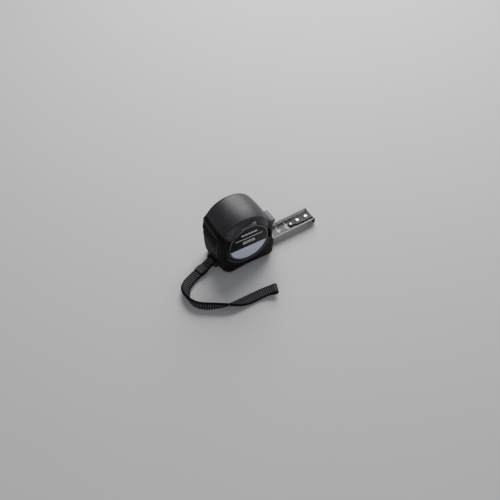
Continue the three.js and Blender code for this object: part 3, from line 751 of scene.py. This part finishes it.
def form(name, depth, from_y=None, to_y=None, fine=False, relief=False):
    """The case's closed form, or the form that lies a depth inside it, between two places across."""
    from_y = LABEL_FACE_Y + depth if from_y is None else from_y
    to_y = CLIP_FACE_Y - depth if to_y is None else to_y
    count = 480 if fine else 120
    rows = []
    outline = [outline_point(2 * math.pi * i / count) for i in range(count)]
    for y, inset in sections(fine):
        ring = []
        for i, (x, z) in enumerate(outline):
            reach = math.hypot(x, z)
            angle = 2 * math.pi * i / count
            deep = rear_relief(angle, y) if relief else 0.0
            keep = (reach - inset_at(angle, y, inset) - depth - deep) / reach
            ring.append((x * keep, min(max(y, from_y), to_y), max(AXIS_Z + z * keep, depth)))
        rows.append(ring)
    return grid(name, rows[::-1])


def sector(name, inner, start, end, y0, y1):
    """A wide wedge about the axle that starts at a radius, between two angles in degrees."""
    outline = arc(60, start, end, 60) + arc(inner, end, start, 60)
    return prism(name, [(x, AXIS_Z + z) for x, z in outline], "Y", y0, y1)


def top_window(name, widen):
    """The room where the hard shell shows through the grips."""
    near = sector(name, 22.5, WINDOW[0] - widen, WINDOW[1] + widen, -40, 0.02)
    far = sector(name + "_far", 25.4 - widen, WINDOW[0] - widen, WINDOW[1] + widen, 0, 40)
    return add(near, far)


def key_outline(widen):
    """The tab over the ring, seen from the label's side: a low plate with two rounded corners."""
    left, right, top = KEY_LEFT - widen, KEY_RIGHT + widen, AXIS_Z + KEY_TOP + widen
    corner = KEY_CORNER + widen
    outline = [(left, AXIS_Z + 15), (right, AXIS_Z + 15)]
    outline += arc(corner, 0, 90, 8, (right - corner, top - corner))
    return outline + arc(corner, 90, 180, 8, (left + corner, top - corner))


def lower_lip(name, profile, widen):
    """The part of a ring round the lower half of the label's pocket, widen degrees longer each way."""
    ring = grid(name, turned(profile[::-1], "Y", (0, AXIS_Z), 192), close_rows=True)
    return common(ring, sector(name + "_reach", 20, 205 - widen, 345 + widen, -40, 0))


def label_pocket():
    """The hollow that the label sits in, wider where the rubber is, with a sloping rim."""
    hole = bar("pocket", "Y", POCKET_RADIUS, -30, POCKET_FLOOR_Y, (0, AXIS_Z), 192)
    wide = bar("pocket_wide", "Y", MOAT_RADIUS, -30, POCKET_FLOOR_Y, (0, AXIS_Z), 192)
    edge = turned([(0.01, -19.0), (24.6, -19.0), (26.4, -20.8), (0.01, -20.8)], "Y", (0, AXIS_Z), 192)
    add(wide, grid("pocket_edge", edge[::-1]))
    cut(wide, top_window("pocket_window", 0))
    key = prism("pocket_key", key_outline(KEY_GROOVE), "Y", -30, POCKET_FLOOR_Y)
    return add(hole, wide, key)


def openings():
    """What is cut out of the case: the pocket, the mouth, the lock's slot and the screws' holes."""
    cuts = [label_pocket(),
            block("mouth", *MOUTH),
            block("lock_slot", (24, -3.9, 26.2), (45, 3.9, 36.8)),
            bar("arbor_hole", "Y", 1.7, 8, 30, (0, AXIS_Z), 32),
            bar("arbor_seat", "Y", 3.4, 18.2, 30, (0, AXIS_Z), 64),
            bar("clip_hole", "Y", 1.7, 15, 30, (0, CLIP_SCREW_Z), 32)]
    for name, x, z in SCREWS:
        cuts.append(bar(name + "_hole", "Y", 1.5, -14, 30, (x, z), 32))
        cuts.append(bar(name + "_seat", "Y", 3.2, 17.9, 30, (x, z), 64))
    return cuts


def strap_ears():
    """Two ears at the case's back, with the strap's pin between them."""
    low, high = PIN_Z - EAR_RADIUS, PIN_Z + EAR_RADIUS + 2
    outline = [(EAR_ROOT_X, low), (EAR_ROOT_X, high)] + arc(EAR_RADIUS, 90, 270, 24, (PIN_X, PIN_Z))
    ears = prism("ear_near", outline, "Y", -EAR_OUTER_Y, -EAR_INNER_Y)
    add(ears, prism("ear_far", outline, "Y", EAR_INNER_Y, EAR_OUTER_Y))
    return cut(ears, bar("ear_bore", "Y", PIN_RADIUS + GAP, -20, 20, (PIN_X, PIN_Z), 48))


def split(obj, base, body, material):
    """Parts a skin into its label side and its clip side, with a fine seam between."""
    near = copy_of(obj, base + "_label_side_skin")
    common(near, block("half", (-80, -60, -10), (80, PART_Y - SEAM / 2, 110)))
    common(obj, block("half", (-80, PART_Y + SEAM / 2, -10), (80, 60, 110)))
    obj.name = base + "_clip_side_skin"
    done(near, body, material, [base + "_label_side"])
    done(obj, body, material, [base + "_clip_side"])


def build_case():
    cuts = openings()
    grip = form("grip", 0, fine=True, relief=True)
    cut(grip, form("grip_in", GRIP), top_window("grip_window", 0.3))
    room, low = EAR_OUTER_Y + GAP, PIN_Z - EAR_RADIUS - GAP
    cut(grip, block("ear_room", (-45, -room, low), (EAR_ROOT_X, room, low + 2 * EAR_RADIUS + 2.6)))
    shell = form("shell", GRIP + GAP)
    sheen_mask = form("sheen_mask", 0, fine=True)
    common(sheen_mask, top_window("raised_window", -0.15))
    add(shell, sheen_mask, strap_ears())
    cut(shell, form("shell_in", GRIP + GAP + WALL, -16.2, 16.8))
    for piece in cuts:
        combine(grip, piece, "DIFFERENCE", keep=True)
        combine(shell, piece, "DIFFERENCE")
    cut(grip, lower_lip("lip_room", [(24.2, -17), (24.2, -23), (26.35, -23), (26.35, -17)], 0.4))
    lip = [(25.05, -18.2), (25.05, -20.3), (25.3, -20.65),
           (25.95, -20.65), (26.2, -20.3), (26.2, -18.2)]
    # The lower lip takes the paler plastic: a painted highlight where light from above catches it.
    done(lower_lip("pocket_lip", lip, 0), "case", painted_light_plastic)
    split(grip, "grip", "case", rubber_paint)
    split(shell, "shell", "case", shell_paint)


build_case()


# ---------------------------------------- the label

def build_label():
    seat = POCKET_FLOOR_Y - GAP
    top = LABEL_TOP_Y
    r0, r1 = RING_INNER, RING_OUTER
    profile = [(r0, seat), (r0, top + 0.25), (r0 + 0.08, top + 0.08), (r0 + 0.2, top),
               (r0 + 0.65, top), (r0 + 0.8, top + 0.12), (r1 - 0.15, top + 1.0), (r1, top + 1.25),
               (r1, seat)]
    ring = grid("label_ring_bright", turned(profile[::-1], "Y", LABEL_CENTRE, 192), close_rows=True)
    key = prism("key", key_outline(0), "Y", top + 0.1, seat)
    edge = key.modifiers.new("edge", "BEVEL")
    edge.width = 0.3
    edge.segments = 3
    bake(key)
    cut(key, bar("key_cut", "Y", r1 + 0.1, -30, 0, LABEL_CENTRE, 192))
    key.name = "label_key_tab"
    # The key tab takes the paler plastic: painted light on its face.
    done(key, "case", painted_light_plastic)
    done(ring, "case", ring_paint, ["label_ring"])
    face = top + 0.25
    rim = PLATE_RADIUS
    profile = [(0.01, face), (rim - 0.3, face), (rim - 0.1, face + 0.05), (rim, face + 0.2),
               (rim, seat), (0.01, seat)]
    plate = grid("label_plate", turned(profile[::-1], "Y", LABEL_CENTRE, 192))
    done(plate, "case", label_paint, ["label_disc"])
    tilt = math.radians(PRINT_TILT)

    def printed(outline):
        """Turns print drawn about the label's middle into place."""
        return [(LABEL_CENTRE[0] + x * math.cos(tilt) - z * math.sin(tilt),
                 LABEL_CENTRE[1] + x * math.sin(tilt) + z * math.cos(tilt)) for x, z in outline]

    start = math.degrees(math.asin(PALE_TOP / PRINT_RADIUS))
    field = printed(arc(PRINT_RADIUS, start, -180 - start, 64))
    pale = prism("label_lower_field", field, "Y", face - 0.04, face + 0.02)
    done(pale, "case", pale_paint)
    # Generic print: a row of blocks, a thin line, and two rows of short bars, as (middle, half height,
    # ends of each bar).
    rows = [
        (7.55, 0.35, ((-15.4, 15.4),)),
        (13.15, 0.85, ((-8.8, -5.6), (-4.9, -1.7), (-1.0, 1.4), (2.2, 4.6), (5.3, 8.9))),
        (3.1, 0.55, ((-6.6, -3.4), (-2.7, 2.0), (2.7, 6.4))),
        (0.9, 0.55, ((-6.6, -1.2), (-0.5, 2.4), (3.1, 7.6))),
    ]
    print_piece = None
    for z, half, bars in rows:
        for x0, x1 in bars:
            outline = printed([(x0, z - half), (x1, z - half), (x1, z + half), (x0, z + half)])
            bar_name = "line" if print_piece else "label_lines"
            piece = prism(bar_name, outline, "Y", face - 0.03, face + 0.02)
            print_piece = add(print_piece, piece) if print_piece else piece
    done(print_piece, "case", line_paint)


build_label()


# ---------------------------------------- blade and hook

def cup_outline(inner, outer, half, count):
    """A cupped section about the blade's own centre, between two radii, half wide to each side."""
    low_turn = math.degrees(math.asin(half / outer))
    high_turn = math.degrees(math.asin(half / inner))
    low = arc(outer, -90 - low_turn, -90 + low_turn, count, (0, CUP_Z))
    high = arc(inner, -90 + high_turn, -90 - high_turn, count, (0, CUP_Z))
    return low + high


def on_blade(x, across, lift):
    """A point on the blade's top face: across is measured along the cup's curve from its middle."""
    radius = BLADE_CURVE - BLADE_THICK / 2 - lift
    angle = across / BLADE_CURVE
    return (x, radius * math.sin(angle), CUP_Z - radius * math.cos(angle))


def marks_mesh(name, quads, lift):
    """Flat printed shapes on the blade, each an outline of (x, across) points."""
    points, faces = [], []
    for outline in quads:
        base = len(points)
        points += [on_blade(x, a, lift) for x, a in outline]
        faces.append(tuple(range(base, base + len(outline))))
    return thicken(new_object(name, points, faces))


def mark(x, half, a, b):
    """A printed bar's outline: x is its middle, half its half width, a and b its ends across."""
    return [(x - half, a), (x + half, a), (x + half, b), (x - half, b)]


def thicken(marks):
    """Gives flat print the thickness of a coat of paint."""
    coat = marks.modifiers.new("coat", "SOLIDIFY")
    coat.thickness = PRINT_COAT
    coat.offset = 0
    return bake(marks)


def blade_marks():
    """Millimetre ticks at both edges, centimetre lines across, and a thin line along each edge."""
    edge = BLADE_CURVE * math.asin(BLADE_HALF_CHORD / BLADE_CURVE) - 0.12
    quads = []
    for mm in range(FIRST_MARK, 61):
        x = ZERO_X - mm
        if x < BLADE_X[0] + 0.5:
            break
        long = LONG_TICK if mm % 5 == 0 else SHORT_TICK
        for sign in (-1, 1):
            steps = [edge - long * k / 3 for k in range(4)]
            for a, b in zip(steps, steps[1:]):
                quads.append(mark(x, TICK_HALF, sign * a, sign * b)[::sign])
        if mm % 10 == 0 and x < TONGUE_START_X:
            for a, b in ((edge - LONG_TICK, 4.2), (4.2, 2.3), (-4.8, LONG_TICK - edge)):
                quads.append(mark(x, CM_LINE_HALF, a, b))
    start, end = BLADE_X[0], BLADE_X[1] - 0.3
    for sign, wide in ((-1, 1.0), (1, 0.4)):
        quads.append(mark((start + end) / 2, (end - start) / 2, sign * edge, sign * (edge - wide))[::sign])
    return quads


def numeral_mesh(number, x):
    """A flat numeral bent onto the blade, its middle at x."""
    text = bpy.data.curves.new("numeral", "FONT")
    text.body = str(number)
    text.size = NUMERAL_SIZE
    text.offset = NUMERAL_BOLD
    text.resolution_u = 6
    text.align_x = "CENTER"
    source = bpy.data.objects.new("numeral", text)
    bpy.context.collection.objects.link(source)
    bpy.context.view_layer.update()
    graph = bpy.context.evaluated_depsgraph_get()
    mesh = bpy.data.meshes.new_from_object(source.evaluated_get(graph))
    bpy.data.objects.remove(source)
    for vertex in mesh.vertices:
        u, v = vertex.co.x, vertex.co.y
        vertex.co = on_blade(x - u, NUMERAL_FOOT - v, PRINT_LIFT)
    return mesh


def build_blade():
    half = BLADE_THICK / 2
    section = cup_outline(BLADE_CURVE - half, BLADE_CURVE + half, BLADE_HALF_CHORD, 40)
    strip = prism("blade_strip", section, "X", *BLADE_X)
    done(strip, "blade", blade_paint, ["blade"])
    ticks = marks_mesh("blade_ticks", blade_marks(), PRINT_LIFT)
    done(ticks, "blade", mark_paint, sharp=60)
    for number in (3, 4, 5):
        mesh = numeral_mesh(number, ZERO_X - 10 * number)
        numeral = bpy.data.objects.new("blade_numeral_%d" % number, mesh)
        bpy.context.collection.objects.link(numeral)
        done(thicken(numeral), "blade", mark_paint, sharp=60)


def dome(radius, low, rise):
    """A round head's profile, from its rim up to its top."""
    return [(radius * math.cos(a), low + rise * math.sin(a)) for a in np.radians(np.linspace(0, 88, 10))]


def tongue_outline():
    """The hook's tongue from above: wide at the blade's end, then a neck with a round end."""
    shoulder = []
    for t in np.linspace(0, 1, 9):
        shoulder.append((TONGUE_NECK_X - 2.9 * (1 - (1 - t) ** 2), TONGUE_HALF - 2.2 * t ** 2))
    outline = [(HOOK_END_X, -TONGUE_HALF), (HOOK_END_X, TONGUE_HALF)] + shoulder
    last_rivet = RIVETS[2]
    outline += arc(2.7, 90, 270, 24, (last_rivet[1], last_rivet[2]))
    return outline + [(x, -y) for x, y in shoulder[::-1]]


def lip_outline():
    """The hook's lip seen along the blade, with its two lower corners rounded."""
    half, low, corner = BLADE_HALF_CHORD + 0.1, LIP_LOW_Z, LIP_CORNER
    outline = [(-half, 9.0)] + arc(corner, 180, 270, 10, (-half + corner, low + corner))
    return outline + arc(corner, 270, 360, 10, (half - corner, low + corner)) + [(half, 9.0)]


def build_hook():
    under = BLADE_CURVE - BLADE_THICK / 2 - GAP
    top = under - TONGUE_THICK
    band = prism("hook_steel", cup_outline(top, under, TONGUE_HALF + 0.5, 32), "X", 55, HOOK_END_X)
    common(band, prism("tongue_shape", tongue_outline(), "Z", 0, 20))
    for _, x, y, _, shank in RIVETS:
        r = shank + GAP
        slot = arc(r, -90, 90, 16, (x, y)) + arc(r, 90, 270, 16, (x - HOOK_PLAY, y))
        cut(band, prism("slot", slot, "Z", 0, 20))
    plate = prism("lip", lip_outline(), "X", HOOK_END_X - LIP_THICK, HOOK_END_X)
    bend = copy_of(plate, "bend")
    cut(plate, bar("lip_cut", "X", under + GAP, 80, 95, (0, CUP_Z), 240))
    common(bend, block("bend_band", (80, -TONGUE_HALF, 0), (95, TONGUE_HALF, 20)))
    cut(bend, bar("bend_cut", "X", top, 80, 95, (0, CUP_Z), 240))
    add(band, plate, bend)
    done(band, "hook", hook_paint, ["end_hook"], bevel=0.12)
    seat = CUP_Z - top + 0.12
    foot = BLADE_LOW_Z - 0.1
    for name, x, y, head, shank in RIVETS:
        profile = [(0.01, foot), (shank, foot), (shank, seat), (head, seat)] + dome(head, seat + 0.3, 0.65)
        rivet = grid("rivet_" + name, turned(profile, "Z", (x, y), 48))
        done(rivet, "blade", rivet_paint, ["hook_rivet_" + name])


build_blade()
build_hook()


# ---------------------------------------- mouth, lock, clip and screws

def rounded(low, high, corner, count=8):
    """A rectangle's outline with round corners."""
    (x0, y0), (x1, y1) = low, high
    out = arc(corner, 180, 270, count, (x0 + corner, y0 + corner))
    out += arc(corner, 270, 360, count, (x1 - corner, y0 + corner))
    out += arc(corner, 0, 90, count, (x1 - corner, y1 - corner))
    return out + arc(corner, 90, 180, count, (x0 + corner, y1 - corner))


def build_mouth():
    guide = block("mouth_guide_smooth", (24.8, -9.9, 3.5), (35.6, 9.9, 10.0))
    run = BLADE_CURVE + BLADE_THICK / 2 + 0.35
    channel = bar("channel", "X", run, 15, 45, (0, CUP_Z), 240)
    common(channel, block("channel_room", (0, -9.45, 0), (60, 9.45, 40)))
    cut(guide, channel)
    done(guide, "case", guide_paint, ["mouth_guide"], bevel=0.15)
    frame_piece = prism("bumper_soft", rounded((-11.4, 1.3), (11.4, 12.4), 2, 10), "X", 28, 36.0)
    cut(frame_piece, form("bumper_back", -GAP), block("bumper_mouth", *MOUTH))
    done(frame_piece, "case", bumper_paint, ["hook_bumper"], bevel=0.45, segments=3)


def build_lock():
    back, low, high, front = FRONT_REACH + GAP, LOCK_LOW_Z, LOCK_HIGH_Z, LOCK_FRONT_X
    foot, slope_top = back + 1.6, high - 2.4

    def slope(t):
        """A point on the thumb's hollow slope, from its foot at 0 to its top at 1."""
        return foot + (front - foot) * t ** 1.6, low + (slope_top - low) * t

    face = [slope(t) for t in np.linspace(0, 1, 16)]
    nose = arc(1.2, 0, 90, 8, (front - 1.2, high - 1.2))
    button = prism("lock_thumb", [(back, low)] + face + nose + [(back, high)], "Y", -LOCK_HALF, LOCK_HALF)
    for k in range(4):
        ridge_at = slope((2.2 + 1.75 * k) / (slope_top - low))
        cut(button, bar("ridge", "Y", 0.42, -6, 6, ridge_at, 24))
    done(button, "lock", lock_paint, ["lock_button"], bevel=0.35, segments=3)


def build_clip():
    """A bent spring strip: its top lies on the case, it stands off for a belt, and its tip turns out."""
    near = CLIP_FACE_Y + GAP
    spine = [(56, 0), (44, 0), (41, 0.9), (37.5, 4.6), (34, CLIP_STAND), (16, CLIP_STAND), (13, 4.9),
             (11, 3.6), (9.6, 3.6), (7.6, 4.8)]
    line = smooth_route([(0.0, near + y, z) for z, y in spine], 8)
    inner, outer = [], []
    for k, p in enumerate(line):
        t = unit(line[min(k + 1, len(line) - 1)] - line[max(k - 1, 0)])
        inner.append((p[1], p[2]))
        outer.append((p[1] - CLIP_THICK * t[2], p[2] + CLIP_THICK * t[1]))
    clip = prism("belt_clip_spring", inner + outer[::-1], "X", -CLIP_HALF, CLIP_HALF)
    common(clip, prism("clip_shape", rounded((-CLIP_HALF, 6.0), (CLIP_HALF, 60.0), 3, 12), "Y", 10, 40))
    cut(clip, bar("clip_bore", "Y", 1.9, 15, 30, (0, CLIP_SCREW_Z), 48))
    for x in (-3.6, 3.6):
        groove = (x, near + CLIP_STAND + CLIP_THICK + 0.35)
        cut(clip, bar("clip_groove", "Z", 0.7, 18, 33, groove, 24))
    done(clip, "case", steel_paint, ["belt_clip"], bevel=0.2)


def screw(name, x, z, seat, length, head_height):
    """A screw with a domed head and a cross recess, its head's underside at seat."""
    head, shank = 2.9, 1.2
    profile = [(0.01, seat - length), (shank, seat - length + 0.6), (shank, seat), (head, seat)]
    profile += dome(head, seat + 0.35 * head_height, 0.65 * head_height)
    piece = grid(name + "_turned", turned(profile[::-1], "Y", (x, z), 48))
    arm, slit, low = head * 0.62, 0.33, seat + head_height * 0.4
    for wide, tall in ((arm, slit), (slit, arm)):
        cut(piece, block("recess", (x - wide, low, z - tall), (x + wide, low + 3, z + tall)))
    done(piece, "case", steel_paint, [name], bevel=0.06)


build_mouth()
build_lock()
build_clip()
screw("belt_clip_screw", 0, CLIP_SCREW_Z, CLIP_FACE_Y + GAP + CLIP_THICK + GAP, 6, 1.5)
screw("arbor_screw", 0, AXIS_Z, 18.5, 9, 1.2)
for screw_name, screw_x, screw_z in SCREWS:
    screw(screw_name, screw_x, screw_z, 18.2, 26, 1.3)

# The CAD nodes that show as they are, each with its own paint.
KEPT = {
    "arbor": steel_paint, "power_spring": spring_paint, "reel_drum": reel_paint,
    "reel_flange_label_side": reel_paint, "reel_flange_clip_side": reel_paint,
    "blade_coil": blade_paint, "lock_slider": lock_paint, "brake_pad": bumper_paint,
    "strap_pin": pin_paint,
}
for node, paint in KEPT.items():
    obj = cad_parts[node]
    obj.data.materials.clear()
    obj.data.materials.append(paint)


# ---------------------------------------- floor and light

def add_stage():
    floor = new_object("floor", [(-2, -2, 0), (2, -2, 0), (2, 2, 0), (-2, 2, 0)], [(0, 1, 2, 3)])
    paper = make_material("floor_paper", (0.62, 0.62, 0.62), 0.75, grain=0.8, depth=0.02, vary=0.02,
                          patch=90, bevel=0.01)
    floor.data.materials.append(paper)
    floor.location.z = -0.0002
    world = bpy.data.worlds.new("soft")
    world.use_nodes = True
    sky = world.node_tree.nodes["Background"]
    sky.inputs["Color"].default_value = (0.9, 0.92, 1.0, 1)
    sky.inputs["Strength"].default_value = 0.17
    bpy.context.scene.world = world
    lamps = [("key", (0.46, 0.52, 0.62), 0.9, 13.0), ("fill", (-0.5, -0.85, 0.7), 0.8, 2.8)]
    for name, place, size, power in lamps:
        data = bpy.data.lights.new(name, "AREA")
        data.shape = "DISK"
        data.size = size
        data.energy = power
        lamp = bpy.data.objects.new(name, data)
        bpy.context.collection.objects.link(lamp)
        lamp.location = place
        aim = Vector((0, 0, 0.03)) - lamp.location
        lamp.rotation_euler = aim.to_track_quat("-Z", "Y").to_euler()


add_stage()
